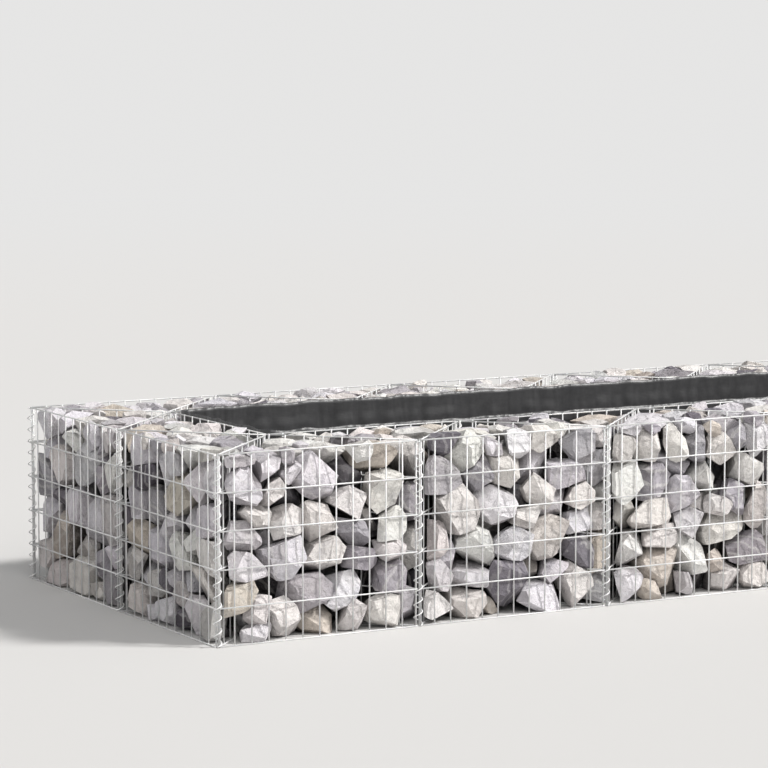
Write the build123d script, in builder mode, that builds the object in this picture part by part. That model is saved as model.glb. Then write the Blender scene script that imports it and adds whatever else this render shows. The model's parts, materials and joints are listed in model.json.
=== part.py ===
"""Gabion raised bed: a low double wall of welded wire mesh filled with broken stone.

The wall runs round a rectangular planting bed. Each side has an outer and an inner row of
mesh panels, one panel to a bay. Slanting brace panels tie each outer joint to the inner
joints beside it, so the channel between the rows is a chain of three-cornered cells, and
each cell holds its own stones. Spiral wires lace the panels together at every joint, and a
cloth liner keeps the soil of the bed out of the stones.

Millimetres. +X runs along the front, +Y to the back, +Z up. The origin is on the ground
under the middle of the bed.
"""

import os
from math import ceil, cos, hypot, pi, radians, sin, sqrt

from build123d import *

# Driving dimensions: welded mesh

WIRE = 4.0  # mesh wire, across
COLUMN_PITCH = 50.0  # from one upright wire to the next
COLUMNS = 12  # openings along one panel
ROW_PITCH = 100.0  # from one level wire to the next
ROWS = 5  # openings up one panel
WELD_SINK = 1.0  # how far crossing wires melt into each other
INNER_STEP = 3  # the inner panels carry every third upright here
BRACE_OPENINGS = 2  # openings along one brace here

# Driving dimensions: plan

BAYS_LONG = 5  # bays along the front and the back
BAYS_DEEP = 2  # bays along each end

# Driving dimensions: joints

PANEL_GAP = 0.25  # between the level wires of two panels that meet at a corner
BRACE_GAP = 1.2  # between the edge wires of a brace and a wall panel
SPIRAL_WIRE = 3.0  # spiral wire, across
SPIRAL_TURNS = 3  # turns of a spiral from one level wire to the next
SPIRAL_FACETS = 6  # straight pieces in one turn
SPIRAL_SHIFT = 1.5  # from a joint's middle to the spiral's axis
SPIRAL_SEATING = 0.6  # between a spiral and the wires inside it
SPIRAL_END = 1.5  # from a spiral's ends to the ground and to the top of the mesh

# Driving dimensions: stones and liner

STONE_CLEARANCE = 0.2  # between the stones and the mesh
LINER = 1.0  # liner cloth with its folds, across
LINER_LIP = 12.0  # how far the liner stands above the mesh
LINER_CLEARANCE = 0.3  # between the liner and the spirals of the inner mesh
LINER_CORNER = 30.0  # radius of the liner's corners

# Sizes that follow from them

BAY = COLUMN_PITCH * COLUMNS
CHANNEL = BAY / 2  # outer mesh to inner mesh, so two braces meet at right angles
HEIGHT = ROW_PITCH * ROWS + WIRE
HALF_X = BAY * BAYS_LONG / 2
HALF_Y = BAY * BAYS_DEEP / 2
BRACE_RUN = CHANNEL * sqrt(2)
LEVEL_LAYER = WIRE - WELD_SINK  # from the uprights' middle to the level wires' middle
PANEL_SETBACK = LEVEL_LAYER + WIRE + PANEL_GAP  # from a joint's middle to an edge wire
BRACE_SETBACK = WIRE * (1 + sqrt(0.5)) + BRACE_GAP  # the same for a brace
SPIRAL_PITCH = ROW_PITCH / SPIRAL_TURNS

# Each side of the bed: its name, bays, first outer corner and the heading along it. The
# channel lies to the left of every heading.
SIDES = (
    ("front", BAYS_LONG, -HALF_X, -HALF_Y, 0),
    ("right", BAYS_DEEP, HALF_X, -HALF_Y, 90),
    ("back", BAYS_LONG, HALF_X, HALF_Y, 180),
    ("left", BAYS_DEEP, -HALF_X, HALF_Y, 270),
)

os.makedirs("parts", exist_ok=True)


def save(piece, label):
    """Label a finished piece and write it to its own file."""
    piece.part.label = label
    export_step(piece.part, f"parts/{label}.step")


def spot(side, run, into=0.0, turn=0.0):
    """A place on the ground: so far along a side, so far into it, turned from its heading."""
    _, _, x, y, heading = side
    ahead, left = radians(heading), radians(heading + 90)
    east = x + run * cos(ahead) + into * cos(left)
    north = y + run * sin(ahead) + into * sin(left)
    return Location((east, north, 0), (0, 0, heading + turn))


def copies(template, label, places):
    """Set copies of a finished template at their places and write them as one node."""
    with BuildPart() as piece:
        with Locations(*places):
            add(template.part)
    save(piece, label)


# Templates: welded mesh


def mesh_sheet(uprights, layer):
    """Welded mesh over the X axis: upright wires, and level wires a layer in front of them."""
    first, last = uprights[0] - WIRE / 2, uprights[-1] + WIRE / 2
    level_plane = Plane(origin=(first, -layer, WIRE / 2), x_dir=(0, 1, 0), z_dir=(1, 0, 0))
    with BuildPart() as sheet:
        with BuildSketch():
            with Locations(*[(x, 0) for x in uprights]):
                Rectangle(WIRE, WIRE)
        extrude(amount=HEIGHT)
        with BuildSketch(level_plane):
            with Locations(*[(0, ROW_PITCH * row) for row in range(ROWS + 1)]):
                Rectangle(WIRE, WIRE)
        extrude(amount=last - first)
    return sheet


between = [COLUMN_PITCH * column for column in range(1, COLUMNS)]
inner_between = between[INNER_STEP - 1 :: INNER_STEP]
outer_sheet = mesh_sheet([PANEL_SETBACK, *between, BAY - PANEL_SETBACK], LEVEL_LAYER)
inner_sheet = mesh_sheet([PANEL_SETBACK, *inner_between, BAY - PANEL_SETBACK], LEVEL_LAYER)

# Templates: spirals


def spiral(edge_wires, axis, clear_angle):
    """A spiral round the edge wires of a joint.

    edge_wires holds the distance and direction of each from the joint's middle. The spiral
    passes clear_angle halfway between two level wires.
    """
    reach = 0.0
    for setback, direction in edge_wires:
        for along in (setback - WIRE / 2, setback + WIRE / 2):
            for aside in (-WIRE / 2, WIRE / 2):
                turn = radians(direction)
                x = along * cos(turn) - aside * sin(turn)
                y = along * sin(turn) + aside * cos(turn)
                reach = max(reach, hypot(x - axis[0], y - axis[1]))
    radius = (reach + SPIRAL_SEATING + SPIRAL_WIRE / 2) / cos(pi / SPIRAL_FACETS)
    lowest = SPIRAL_END + SPIRAL_WIRE / 2
    middle = WIRE / 2 + SPIRAL_PITCH / 2
    start = clear_angle - 360 * (middle - lowest) / SPIRAL_PITCH
    turns = (HEIGHT - 2 * lowest) / SPIRAL_PITCH
    points = []
    for step in [*range(ceil(SPIRAL_FACETS * turns)), SPIRAL_FACETS * turns]:
        angle = radians(start + 360 * step / SPIRAL_FACETS)
        rise = lowest + SPIRAL_PITCH * step / SPIRAL_FACETS
        points.append((axis[0] + radius * cos(angle), axis[1] + radius * sin(angle), rise))
    with BuildPart() as coil:
        with BuildLine():
            path = Polyline(*points)
        outward = radians(start + 180 / SPIRAL_FACETS)
        with BuildSketch(Plane(path @ 0, (cos(outward), sin(outward), 0), path % 0)):
            Rectangle(SPIRAL_WIRE, SPIRAL_WIRE)
        sweep(path=path, transition=Transition.RIGHT, normal=(0, 0, 1))
    return coil, radius


wall_wires = [(PANEL_SETBACK, 0), (PANEL_SETBACK, 180), (BRACE_SETBACK, 45), (BRACE_SETBACK, 135)]
corner_wires = [(PANEL_SETBACK, 0), (PANEL_SETBACK, 90), (BRACE_SETBACK, 45)]
inner_corner_wires = [
    (PANEL_SETBACK, 0),
    (PANEL_SETBACK, 90),
    (BRACE_SETBACK, 135),
    (BRACE_SETBACK, 315),
]
wall_spiral, wall_radius = spiral(wall_wires, (0, SPIRAL_SHIFT), 90)
corner_spiral, _ = spiral(corner_wires, (SPIRAL_SHIFT, SPIRAL_SHIFT), 45)
inner_corner_spiral, inner_corner_radius = spiral(inner_corner_wires, (0, 0), 45)

# Templates: braces

# A corner brace ends just outside the spiral of the inner corner, which is full.
spiral_reach = inner_corner_radius + SPIRAL_WIRE / 2
corner_setback = spiral_reach + SPIRAL_SEATING + WIRE / 2
brace_between = [BRACE_RUN * step / BRACE_OPENINGS for step in range(1, BRACE_OPENINGS)]
brace_sheet = mesh_sheet([BRACE_SETBACK, *brace_between, BRACE_RUN - BRACE_SETBACK], 0)
corner_brace_sheet = mesh_sheet([BRACE_SETBACK, *brace_between, BRACE_RUN - corner_setback], 0)

# Templates: stones

cell_inset = WIRE / 2 + STONE_CLEARANCE
cell_cut = (wall_radius + SPIRAL_WIRE / 2 + SPIRAL_SHIFT + STONE_CLEARANCE) * sqrt(2)
with BuildPart() as cell_stones:
    with BuildSketch():
        with BuildLine():
            Polyline((0, 0), (BAY, 0), (CHANNEL, CHANNEL), close=True)
        make_face()
        offset(amount=-cell_inset, kind=Kind.INTERSECTION)
        chamfer(vertices(), length=cell_cut)
    extrude(amount=HEIGHT)

# The bed

corner_braces, outer_corners, inner_corners = [], [], []
for side in SIDES:
    name, bays = side[:2]
    outer_runs = [BAY * bay for bay in range(bays)]
    outer_joints = outer_runs[1:]
    inner_joints = [run + CHANNEL for run in outer_runs]
    for number, run in enumerate(outer_runs, 1):
        copies(outer_sheet, f"{name}_panel_{number}", [spot(side, run)])
    # The inner panels are turned round, so that their level wires face the bed.
    inner_panels = [spot(side, run, CHANNEL, 180) for run in inner_joints[1:]]
    copies(inner_sheet, f"{name}_inner_panels", inner_panels)
    rising = [spot(side, run, 0, 45) for run in outer_joints]
    falling = [spot(side, run, 0, 135) for run in outer_joints]
    copies(brace_sheet, f"{name}_braces", rising + falling)
    copies(wall_spiral, f"{name}_spirals", [spot(side, run) for run in outer_joints])
    inner_spirals = [spot(side, run, CHANNEL, 180) for run in inner_joints[1:-1]]
    if inner_spirals:
        copies(wall_spiral, f"{name}_inner_spirals", inner_spirals)
    outer_cells = [spot(side, run) for run in outer_runs]
    inner_cells = [spot(side, run, CHANNEL, 180) for run in inner_joints[1:]]
    copies(cell_stones, f"{name}_stones", outer_cells + inner_cells)
    corner_braces.append(spot(side, 0, 0, 45))
    outer_corners.append(spot(side, 0))
    inner_corners.append(spot(side, CHANNEL, CHANNEL))

# The inner spirals are turned round, so their near side in the template faces the bed.
liner_gap = LINER_CLEARANCE - wall_spiral.part.bounding_box().min.Y
with BuildPart() as bed_liner:
    with BuildSketch():
        outline = (2 * (HALF_X - CHANNEL - liner_gap), 2 * (HALF_Y - CHANNEL - liner_gap))
        RectangleRounded(*outline, LINER_CORNER)
        offset(amount=-LINER, mode=Mode.SUBTRACT)
    extrude(amount=HEIGHT + LINER_LIP)
save(bed_liner, "bed_liner")

copies(corner_brace_sheet, "corner_braces", corner_braces)
copies(corner_spiral, "corner_spirals", outer_corners)
copies(inner_corner_spiral, "inner_corner_spirals", inner_corners)
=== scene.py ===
"""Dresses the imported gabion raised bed: round wires, spirals, broken stone and the liner.

Metres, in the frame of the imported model: +X runs along the front, +Y to the back, +Z up.
The origin is on the ground under the middle of the bed.
"""

import json
import logging
import math
import random
from collections.abc import Iterable, Sequence
from dataclasses import dataclass, field
from enum import Enum

import bmesh
import bpy
from mathutils import Matrix, Vector, noise

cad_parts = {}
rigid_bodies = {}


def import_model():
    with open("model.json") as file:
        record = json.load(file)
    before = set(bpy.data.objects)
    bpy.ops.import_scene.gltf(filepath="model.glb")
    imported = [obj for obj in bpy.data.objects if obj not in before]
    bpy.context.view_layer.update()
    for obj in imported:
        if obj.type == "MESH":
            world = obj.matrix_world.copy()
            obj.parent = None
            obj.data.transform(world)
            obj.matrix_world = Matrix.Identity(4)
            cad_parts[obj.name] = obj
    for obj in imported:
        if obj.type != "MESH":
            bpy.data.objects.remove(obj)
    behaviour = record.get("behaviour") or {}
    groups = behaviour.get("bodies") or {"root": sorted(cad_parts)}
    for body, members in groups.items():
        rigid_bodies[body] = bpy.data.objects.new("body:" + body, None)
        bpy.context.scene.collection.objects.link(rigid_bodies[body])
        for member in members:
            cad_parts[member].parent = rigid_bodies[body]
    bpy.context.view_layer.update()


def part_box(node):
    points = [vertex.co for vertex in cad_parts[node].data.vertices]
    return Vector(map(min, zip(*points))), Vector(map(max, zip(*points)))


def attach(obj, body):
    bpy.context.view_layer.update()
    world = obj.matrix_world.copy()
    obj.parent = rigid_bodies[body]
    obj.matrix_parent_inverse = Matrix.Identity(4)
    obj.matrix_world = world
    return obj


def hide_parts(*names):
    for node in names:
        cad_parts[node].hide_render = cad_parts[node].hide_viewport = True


LOG = logging.getLogger("gabion")
BODY = "root"
NOISE_SEED = 41

Triple = tuple[float, float, float]
Colour = Triple
Span = tuple[float, float]
Stop = tuple[float, Colour]

BLACK: Colour = (0, 0, 0)
WHITE: Colour = (1, 1, 1)


# Layout


@dataclass(frozen=True)
class Side:
    """One side of the bed, with its bays counted from its first outer corner."""

    name: str
    bays: int
    x: float
    y: float
    heading: float

    def spot(self, run: float, into: float = 0.0, turn: float = 0.0) -> Matrix:
        """Find a place on the ground by this side.

        Args:
            run: Distance along the side from its first outer corner.
            into: Distance from the outer mesh towards the bed.
            turn: Degrees to turn from the side's heading.

        Returns:
            The matrix that carries a local shape to the place.
        """
        ahead, left = math.radians(self.heading), math.radians(self.heading + 90)
        east = self.x + run * math.cos(ahead) + into * math.cos(left)
        north = self.y + run * math.sin(ahead) + into * math.sin(left)
        turned = Matrix.Rotation(math.radians(self.heading + turn), 4, "Z")
        return Matrix.Translation((east, north, 0)) @ turned


@dataclass(frozen=True)
class Layout:
    """Sizes and places that every sub-assembly shares."""

    wire: float = 0.004
    column_pitch: float = 0.05
    columns: int = 12
    row_pitch: float = 0.1
    rows: int = 5
    weld_sink: float = 0.001
    brace_openings: int = 8
    bays_long: int = 5
    bays_deep: int = 2
    panel_setback: float = 0.00725
    brace_setback: float = 0.00803
    corner_setback: float = 0.01834

    @property
    def bay(self) -> float:
        """Length of one bay."""
        return self.column_pitch * self.columns

    @property
    def channel(self) -> float:
        """Width of the stone channel."""
        return self.bay / 2

    @property
    def height(self) -> float:
        """Height of the mesh."""
        return self.row_pitch * self.rows + self.wire

    @property
    def brace_run(self) -> float:
        """Length of a brace from joint to joint."""
        return self.channel * math.sqrt(2)

    @property
    def sides(self) -> tuple[Side, ...]:
        """The four sides, in order round the bed."""
        half_x, half_y = self.bay * self.bays_long / 2, self.bay * self.bays_deep / 2
        return (
            Side("front", self.bays_long, -half_x, -half_y, 0),
            Side("right", self.bays_deep, half_x, -half_y, 90),
            Side("back", self.bays_long, half_x, half_y, 180),
            Side("left", self.bays_deep, -half_x, half_y, 270),
        )

    def outer_runs(self, side: Side) -> list[float]:
        """Where the outer bays of a side start."""
        return [self.bay * bay for bay in range(side.bays)]

    def outer_places(self, side: Side) -> list[Matrix]:
        """Places of a side's outer bays."""
        return [side.spot(run) for run in self.outer_runs(side)]

    def inner_places(self, side: Side) -> list[Matrix]:
        """Places of a side's inner bays, which face the bed."""
        runs = [run + self.channel for run in self.outer_runs(side)[1:]]
        return [side.spot(run, self.channel, 180) for run in runs]


# Finishes


class Nodes:
    """A node tree, with short calls to add nodes and join them."""

    def __init__(self, tree: bpy.types.NodeTree) -> None:
        """Work on a tree."""
        self.tree = tree

    def add(self, kind: str, **values: object) -> bpy.types.Node:
        """Add a node.

        Args:
            kind: The node's type name, without its ShaderNode prefix.
            **values: Settings of the node; a trailing underscore marks an input, with
                spaces written as underscores.

        Returns:
            The new node.
        """
        node = self.tree.nodes.new("ShaderNode" + kind)
        for key, value in values.items():
            if key.endswith("_"):
                node.inputs[key[:-1].replace("_", " ")].default_value = value
            else:
                setattr(node, key, value)
        return node

    def join(self, out: bpy.types.NodeSocket, into: bpy.types.NodeSocket) -> None:
        """Link one socket to another."""
        self.tree.links.new(out, into)

    def combine(
        self,
        operation: str,
        first: bpy.types.NodeSocket,
        second: bpy.types.NodeSocket,
    ) -> bpy.types.NodeSocket:
        """Work out one value from two.

        Args:
            operation: The sum to do, such as MULTIPLY.
            first: The first value.
            second: The second value.

        Returns:
            The result's socket.
        """
        node = self.add("Math", operation=operation)
        self.join(first, node.inputs[0])
        self.join(second, node.inputs[1])
        return node.outputs["Value"]


class Shader(Nodes):
    """A material's nodes."""

    # The sockets of a Mix node that serve colours: the share and the two colours, and the result.
    MIX_INPUTS = (0, 6, 7)
    MIX_RESULT = 2

    def __init__(self, name: str) -> None:
        """Start a material with a principled shader."""
        self.material = bpy.data.materials.new(name)
        self.material.use_nodes = True
        super().__init__(self.material.node_tree)
        self.surface = self.tree.nodes["Principled BSDF"]

    def feed(
        self,
        socket: bpy.types.NodeSocket,
        value: bpy.types.NodeSocket | float | Sequence[float],
    ) -> None:
        """Join another socket to an input, or set the input itself.

        Args:
            socket: The input.
            value: A socket, a number or a colour.
        """
        if isinstance(value, bpy.types.NodeSocket):
            self.join(value, socket)
        else:
            socket.default_value = value if isinstance(value, float) else (*value, 1)

    def put(self, name: str, value: bpy.types.NodeSocket | float | Sequence[float]) -> None:
        """Join or set an input of the surface."""
        self.feed(self.surface.inputs[name], value)

    def attribute(self, name: str, output: str) -> bpy.types.NodeSocket:
        """Read an attribute of the mesh."""
        return self.add("Attribute", attribute_name=name).outputs[output]

    def texture(
        self,
        place: bpy.types.NodeSocket,
        kind: str,
        output: str = "Fac",
        **values: object,
    ) -> bpy.types.NodeSocket:
        """Add a texture.

        Args:
            place: Where its pattern is read.
            kind: The texture's type name, without its ShaderNodeTex prefix.
            output: The output that is used.
            **values: Settings, as for add.

        Returns:
            The output's socket.
        """
        node = self.add("Tex" + kind, **values)
        self.join(place, node.inputs["Vector"])
        return node.outputs[output]

    def ramp(self, source: bpy.types.NodeSocket, *stops: Stop) -> bpy.types.NodeSocket:
        """Turn a value into a colour.

        Args:
            source: The value.
            *stops: Positions and colours, in rising order.

        Returns:
            The ramp's colour socket.
        """
        node = self.add("ValToRGB")
        elements = node.color_ramp.elements
        elements[0].position, elements[0].color = stops[0][0], (*stops[0][1], 1)
        elements[1].position, elements[1].color = stops[-1][0], (*stops[-1][1], 1)
        for position, colour in stops[1:-1]:
            elements.new(position).color = (*colour, 1)
        self.join(source, node.inputs["Fac"])
        return node.outputs["Color"]

    def mix(
        self,
        share: bpy.types.NodeSocket | float,
        first: bpy.types.NodeSocket | Sequence[float],
        second: bpy.types.NodeSocket | Sequence[float],
        blend: str = "MIX",
    ) -> bpy.types.NodeSocket:
        """Mix two colours.

        Args:
            share: How much of the second is used.
            first: A colour or a colour socket.
            second: A colour or a colour socket.
            blend: The way of blending.

        Returns:
            The mixed colour socket.
        """
        node = self.add("Mix", data_type="RGBA", blend_type=blend)
        for number, value in zip(self.MIX_INPUTS, (share, first, second)):
            self.feed(node.inputs[number], value)
        return node.outputs[self.MIX_RESULT]

    def bump(self, height: bpy.types.NodeSocket, relief: Span) -> None:
        """Roughen the surface, on top of any bump that is there already.

        Args:
            height: The pattern.
            relief: The bump's strength and its depth.
        """
        strength, distance = relief
        node = self.add("Bump", Strength_=strength, Distance_=distance)
        self.join(height, node.inputs["Height"])
        before = self.surface.inputs["Normal"]
        if before.links:
            self.join(before.links[0].from_socket, node.inputs["Normal"])
        self.join(node.outputs["Normal"], before)


@dataclass(frozen=True)
class GalvanisedWire:
    """Zinc-coated wire: pale, softly shining metal with faint spangles and duller patches."""

    name: str
    pale: Colour = (0.76, 0.76, 0.755)
    dull: Colour = (0.67, 0.675, 0.68)
    roughness: Span = (0.45, 0.65)
    metallic: float = 0.22
    patch_edges: Span = (0.36, 0.62)
    spangle_share: float = 0.12
    relief: Span = (0.25, 0.0004)

    def material(self) -> bpy.types.Material:
        """Build the material."""
        shader = Shader(self.name)
        place = shader.add("TexCoord").outputs["Object"]
        patches = shader.texture(place, "Noise", Scale_=38.0, Detail_=4.0, Roughness_=0.6)
        spangle = shader.texture(place, "Voronoi", "Color", Scale_=420.0)
        dull_edge, pale_edge = self.patch_edges
        zinc = shader.ramp(patches, (dull_edge, self.dull), (pale_edge, self.pale))
        shader.put("Base Color", shader.mix(self.spangle_share, zinc, spangle, "SOFT_LIGHT"))
        least, most = self.roughness
        gloss = shader.add("MapRange", To_Min_=least, To_Max_=most)
        shader.join(patches, gloss.inputs["Value"])
        shader.put("Roughness", gloss.outputs["Result"])
        shader.put("Metallic", self.metallic)
        shader.bump(patches, self.relief)
        return shader.material


@dataclass(frozen=True)
class BrokenStoneFinish:
    """Quarried stone: each stone's own colour, darkened by painted shade deep among the stones,
    with mottling, pale veins, warm stains and grain.

    The stops turn a pattern's value into a colour or a share, and each relief is the strength
    and the depth of a bump.
    """

    name: str = "broken_stone"
    stain: Colour = (0.62, 0.52, 0.41)
    vein: Colour = (0.9, 0.88, 0.85)
    crust: Colour = (0.54, 0.53, 0.53)
    roughness: float = 0.86
    specular: float = 0.15
    clouds: tuple[Stop, ...] = (
        (0.3, (0.62, 0.62, 0.64)),
        (0.43, (0.98, 0.98, 0.98)),
        (0.66, (1.05, 1.04, 1.04)),
    )
    crust_stops: tuple[Stop, ...] = ((0.36, (0.35, 0.35, 0.35)), (0.52, WHITE))
    stain_stops: tuple[Stop, ...] = ((0.5, BLACK), (0.68, WHITE))
    vein_stops: tuple[Stop, ...] = ((0.8, BLACK), (0.93, WHITE))
    speckles: tuple[Stop, ...] = ((0.32, (0.91, 0.91, 0.91)), (0.58, (1.03, 1.03, 1.03)))
    ridge_relief: Span = (1.0, 0.014)
    strata_relief: Span = (0.5, 0.004)
    chip_relief: Span = (0.6, 0.012)
    rough_relief: Span = (1.0, 0.012)
    crystal_relief: Span = (0.3, 0.0008)

    def material(self) -> bpy.types.Material:
        """Build the material."""
        shader = Shader(self.name)
        # Each stone's colour attribute carries painted shade deep among the stones.
        tint, crust = shader.attribute("tint", "Color"), shader.attribute("crust", "Fac")
        grain = shader.attribute("grain", "Vector")
        marks = shader.add("SeparateColor")
        shader.join(shader.attribute("marks", "Color"), marks.inputs["Color"])
        mottle = shader.texture(grain, "Noise", Scale_=16.0, Detail_=7.0, Roughness_=0.62)
        broad = shader.texture(grain, "Noise", Scale_=7.0, Detail_=3.0, Roughness_=0.5)
        strata = shader.texture(
            grain, "Wave", Scale_=9.0, Distortion_=5.5, Detail_=4.0, Detail_Scale_=1.6
        )
        crystal = shader.texture(grain, "Noise", Scale_=240.0, Detail_=3.0, Roughness_=0.7)
        chips = shader.texture(
            grain, "Voronoi", "Distance", feature="DISTANCE_TO_EDGE", Scale_=34.0
        )
        rough = shader.texture(grain, "Noise", Scale_=60.0, Detail_=8.0, Roughness_=0.68)
        ridges = shader.texture(
            grain, "Noise", noise_type="RIDGED_MULTIFRACTAL", Scale_=17.0, Detail_=5.0
        )
        colour = shader.mix(1.0, tint, shader.ramp(mottle, *self.clouds), "MULTIPLY")
        weathered = shader.mix(1.0, colour, self.crust, "MULTIPLY")
        crusted = shader.combine("MULTIPLY", shader.ramp(mottle, *self.crust_stops), crust)
        colour = shader.mix(crusted, colour, weathered)
        stains = shader.ramp(broad, *self.stain_stops)
        stained = shader.combine("MULTIPLY", stains, marks.outputs["Green"])
        colour = shader.mix(stained, colour, self.stain)
        veins = shader.ramp(strata, *self.vein_stops)
        veined = shader.combine("MULTIPLY", veins, marks.outputs["Red"])
        colour = shader.mix(veined, colour, self.vein)
        colour = shader.mix(1.0, colour, shader.ramp(crystal, *self.speckles), "MULTIPLY")
        shader.put("Base Color", colour)
        shader.put("Roughness", self.roughness)
        shader.put("Specular IOR Level", self.specular)
        shader.bump(ridges, self.ridge_relief)
        shader.bump(strata, self.strata_relief)
        shader.bump(chips, self.chip_relief)
        shader.bump(rough, self.rough_relief)
        shader.bump(crystal, self.crystal_relief)
        return shader.material


@dataclass(frozen=True)
class LinerCloth:
    """Black woven ground cloth with a dull plastic shine."""

    name: str = "liner_cloth"
    dark: Colour = (0.036, 0.036, 0.038)
    worn: Colour = (0.062, 0.062, 0.064)
    wear_edges: Span = (0.35, 0.75)
    roughness: float = 0.42
    threads_per_metre: float = 420.0
    thread_relief: Span = (0.2, 0.0004)
    crumple_stretch: Triple = (2.2, 0.35, 1.0)
    crumple_relief: Span = (0.7, 0.009)

    def material(self) -> bpy.types.Material:
        """Build the material."""
        shader = Shader(self.name)
        flat = shader.add("UVMap", uv_map="cloth").outputs["UV"]
        wear = shader.texture(flat, "Noise", Scale_=26.0, Detail_=6.0, Roughness_=0.7)
        dark_edge, worn_edge = self.wear_edges
        shader.put("Base Color", shader.ramp(wear, (dark_edge, self.dark), (worn_edge, self.worn)))
        shader.put("Roughness", self.roughness)
        drawn = shader.add("Mapping", Scale_=self.crumple_stretch)
        shader.join(flat, drawn.inputs["Vector"])
        crumple = shader.texture(
            drawn.outputs["Vector"],
            "Noise",
            noise_type="RIDGED_MULTIFRACTAL",
            Scale_=16.0,
            Detail_=3.0,
        )
        shader.bump(crumple, self.crumple_relief)
        scale = self.threads_per_metre / math.tau
        for direction in ("X", "Y"):
            thread = shader.texture(flat, "Wave", bands_direction=direction, Scale_=scale)
            shader.bump(thread, self.thread_relief)
        return shader.material


# Shared mesh work


def to_mesh(shape: bmesh.types.BMesh, name: str) -> bpy.types.Mesh:
    """Write a bmesh to a new mesh and free it.

    Args:
        shape: The bmesh.
        name: The mesh's name.

    Returns:
        The new mesh.
    """
    mesh = bpy.data.meshes.new(name)
    shape.to_mesh(mesh)
    shape.free()
    return mesh


def gather(template: bpy.types.Mesh, places: Iterable[Matrix], name: str) -> bpy.types.Mesh:
    """Join copies of a template.

    Args:
        template: The mesh to copy.
        places: Where each copy goes.
        name: The name of the joined mesh.

    Returns:
        One mesh that holds every copy.
    """
    shape = bmesh.new()
    for place in places:
        before = len(shape.verts)
        shape.from_mesh(template)
        shape.verts.ensure_lookup_table()
        bmesh.ops.transform(shape, matrix=place, verts=shape.verts[before:])
    return to_mesh(shape, name)


def add_piece(
    mesh: bpy.types.Mesh,
    material: bpy.types.Material,
    nodes: Sequence[str],
) -> bpy.types.Object:
    """Show a finished mesh as a piece of the bed.

    Args:
        mesh: The mesh, in its place in the frame; the piece takes its name.
        material: The finish.
        nodes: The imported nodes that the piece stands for.

    Returns:
        The new object.
    """
    mesh.materials.clear()
    mesh.materials.append(material)
    piece = bpy.data.objects.new(mesh.name, mesh)
    bpy.context.scene.collection.objects.link(piece)
    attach(piece, BODY)
    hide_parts(*nodes)
    LOG.info("%s: %d faces", piece.name, len(mesh.polygons))
    return piece


def edges_round(corners: Sequence[Vector]) -> list[tuple[Vector, Vector]]:
    """The edges of a closed outline, each by its two ends."""
    return list(zip(corners, [*corners[1:], *corners[:1]]))


def split(shape: bmesh.types.BMesh, point: Vector, normal: Vector) -> None:
    """Take away what lies beyond a plane and close the cut.

    Args:
        shape: The bmesh to cut.
        point: A point of the plane.
        normal: The plane's direction, towards what goes.
    """
    cut = bmesh.ops.bisect_plane(
        shape,
        geom=shape.verts[:] + shape.edges[:] + shape.faces[:],
        plane_co=point,
        plane_no=normal,
        clear_outer=True,
    )
    rim = [part for part in cut["geom_cut"] if isinstance(part, bmesh.types.BMEdge)]
    if rim:
        bmesh.ops.contextual_create(shape, geom=rim)


def round_bar(
    shape: bmesh.types.BMesh,
    start: Vector,
    end: Vector,
    radius: float,
    facets: int,
) -> None:
    """Add a straight round wire with closed ends.

    Args:
        shape: The bmesh to add to.
        start: The middle of one end.
        end: The middle of the other end.
        radius: The wire's radius.
        facets: Flats round the wire.
    """
    along = end - start
    turn = along.to_track_quat("Z", "Y").to_matrix().to_4x4()
    bmesh.ops.create_cone(
        shape,
        cap_ends=True,
        segments=facets,
        radius1=radius,
        radius2=radius,
        depth=along.length,
        matrix=Matrix.Translation((start + end) / 2) @ turn,
    )


def round_sides(shape: bmesh.types.BMesh) -> None:
    """Shade the sides of round wires smooth and leave their ends flat."""
    for face in shape.faces:
        face.smooth = len(face.verts) == 4


# Welded mesh


@dataclass
class WeldedSheet:
    """One sheet of welded mesh over the local X axis, with its level wires in front."""

    layout: Layout
    first: float
    last: float
    between: list[float]
    facets: int = 10
    nub: Triple = (0.0026, 0.0019, 0.0026)

    def template(self, name: str) -> bpy.types.Mesh:
        """Build the sheet at its own origin.

        Args:
            name: The mesh's name.

        Returns:
            The sheet's mesh.
        """
        layout = self.layout
        radius, layer = layout.wire / 2, layout.wire - layout.weld_sink
        levels = [radius + layout.row_pitch * row for row in range(layout.rows + 1)]
        uprights = [self.first, *self.between, self.last]
        shape = bmesh.new()
        for x in uprights:
            foot, head = Vector((x, 0, 0)), Vector((x, 0, layout.height))
            round_bar(shape, foot, head, radius, self.facets)
        for z in levels:
            start = Vector((self.first - radius, -layer, z))
            end = Vector((self.last + radius, -layer, z))
            round_bar(shape, start, end, radius, self.facets)
        round_sides(shape)
        for x in uprights:
            for z in levels:
                self.weld(shape, Vector((x, -layer / 2, max(z, self.nub[2]))))
        return to_mesh(shape, name)

    def weld(self, shape: bmesh.types.BMesh, middle: Vector) -> None:
        """Add the small lump of metal where two wires are welded.

        Args:
            shape: The bmesh to add to.
            middle: The lump's middle.
        """
        place = Matrix.Translation(middle) @ Matrix.Diagonal((*self.nub, 1))
        made = bmesh.ops.create_icosphere(shape, subdivisions=1, radius=1, matrix=place)
        for vert in made["verts"]:
            for face in vert.link_faces:
                face.smooth = True


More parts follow.
